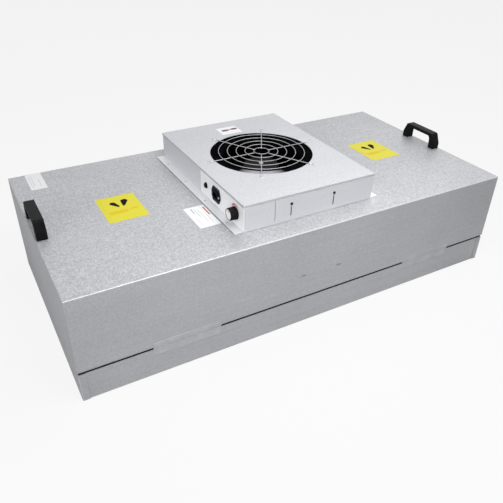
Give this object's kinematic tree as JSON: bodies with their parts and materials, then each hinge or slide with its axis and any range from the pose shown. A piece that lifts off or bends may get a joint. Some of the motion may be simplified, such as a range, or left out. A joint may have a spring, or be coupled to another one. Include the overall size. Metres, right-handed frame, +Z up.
{
  "type": "fan filter unit",
  "caption": "Ceiling fan filter unit: galvanised casing with a blower box on top, wire-guarded inlet, speed knob, mains inlet, carry handles and a pleated filter below.",
  "frame": {"origin": "middle of the unit's underside, on the plane of the filter frame's lower lip", "axes": "+X along the length, away from the end nearest the control plate; +Y to the back, away from the wiring access cover; +Z up, against the air flow"},
  "size_m": [1.22, 0.6102, 0.3518],
  "materials": {
    "galvanised_sheet": "spangled galvanised sheet, semi-gloss",
    "spring_steel": "zinc plated",
    "gasket_rubber": "closed-cell sponge, matte",
    "sealant": "cast polyurethane, smooth",
    "filter_paper": "glass-fibre paper, matte",
    "white_paint": "powder coated, satin",
    "dark_screw": "blackened steel",
    "gloss_black_plastic": "moulded, glossy",
    "guard_wire": "bright plated wire",
    "black_plastic": "moulded, fine texture",
    "black_motor_paint": "enamelled",
    "bright_steel": "bright plated",
    "laminations": "stacked laminations, oiled",
    "cast_aluminium": "turned",
    "sound_foam": "open-cell foam, matte",
    "brass": "bright",
    "circuit_board": "solder mask, satin",
    "foil": "wrinkled foil tape",
    "yellow_label": "printed film",
    "white_label": "printed paper"
  },
  "bodies": {
    "housing": {"casing_wrap": "galvanised_sheet", "end_panel_left": "galvanised_sheet", "end_panel_right": "galvanised_sheet", "seal_angle_left": "galvanised_sheet", "seal_angle_right": "galvanised_sheet", "filter_rail_front": "galvanised_sheet", "filter_rail_back": "galvanised_sheet", "filter_rail_left": "galvanised_sheet", "filter_rail_right": "galvanised_sheet", "filter_clips": "spring_steel", "filter_gasket": "gasket_rubber", "potting": "sealant", "media_pack": "filter_paper", "media_beads": "sealant", "face_guard": "white_paint", "fan_box_walls": "galvanised_sheet", "fan_box_lid": "galvanised_sheet", "access_cover": "galvanised_sheet", "cover_screws": "dark_screw", "inlet_ring": "gloss_black_plastic", "finger_guard": "guard_wire", "guard_screws": "spring_steel", "motor_bearings": "bright_steel", "stator_core": "laminations", "motor_base": "cast_aluminium", "motor_bridge": "galvanised_sheet", "bridge_bolts": "spring_steel", "motor_screws": "spring_steel", "air_baffle": "galvanised_sheet", "foam_left": "sound_foam", "foam_right": "sound_foam", "control_plate": "white_paint", "fuse_holder": "black_plastic", "mains_inlet": "black_plastic", "inlet_pins": "brass", "inlet_screws": "spring_steel", "pot_body": "bright_steel", "pot_nut": "bright_steel", "control_board": "circuit_board", "board_posts": "brass", "run_capacitor": "bright_steel", "capacitor_clamp": "galvanised_sheet", "handle_left": "black_plastic", "handle_right": "black_plastic", "handle_screws": "spring_steel", "foil_tape_left": "foil", "foil_tape_right": "foil", "sticker_yellow_left": "yellow_label", "sticker_yellow_right": "yellow_label", "sticker_white_front": "white_label", "sticker_white_back": "white_label", "sticker_lid": "white_label"},
    "blower_rotor": {"impeller": "black_plastic", "motor_rotor": "black_motor_paint", "motor_shaft": "bright_steel"},
    "knob": {"speed_knob": "black_plastic", "knob_cap": "cast_aluminium", "pot_shaft": "bright_steel"},
    "fuse_turn": {"fuse_cap": "black_plastic", "fuse_link": "bright_steel"}
  },
  "joints": [
    {"name": "impeller_spin", "type": "hinge", "parent": "housing", "child": "blower_rotor", "pos_m": [0.012, 0.008, 0.26], "axis": [0, 0, 1], "continuous": true},
    {"name": "knob_turn", "type": "hinge", "parent": "housing", "child": "knob", "pos_m": [-0.1781, -0.202, 0.311], "axis": [-1, 0, 0], "range_deg": [-135, 135]},
    {"name": "fuse_cap_turn", "type": "hinge", "parent": "housing", "child": "fuse_turn", "pos_m": [-0.1781, -0.041, 0.311], "axis": [-1, 0, 0], "range_deg": [0, 60]}
  ]
}
